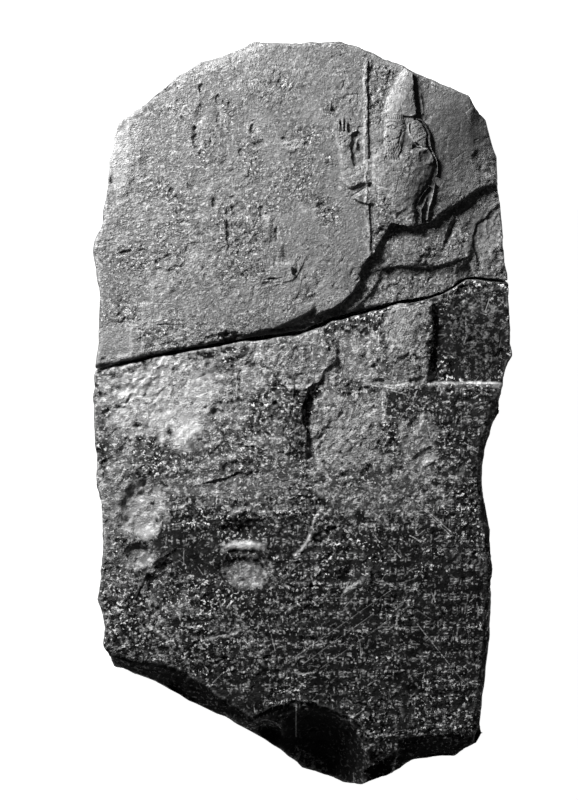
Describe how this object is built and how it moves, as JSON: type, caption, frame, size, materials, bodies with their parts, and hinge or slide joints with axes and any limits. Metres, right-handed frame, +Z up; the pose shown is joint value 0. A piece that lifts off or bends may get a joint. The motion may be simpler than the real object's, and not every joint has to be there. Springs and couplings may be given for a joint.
{
  "type": "carved stone stele",
  "caption": "Flat dark stone slab with a rounded top, broken across, carved in low relief with a standing figure and a stepped tower above a field of worn signs.",
  "frame": {"origin": "middle of the outline, on the surface that the flat back lies on", "axes": "+Y from the broken bottom to the rounded top, +X to the right across the carved face, +Z up out of the carved face"},
  "size_m": [0.266, 0.47, 0.11],
  "materials": {
    "dark_stone": "worn, once polished, rough where broken"
  },
  "bodies": {
    "root": {"upper_fragment": "dark_stone", "lower_fragment": "dark_stone"}
  },
  "joints": []
}
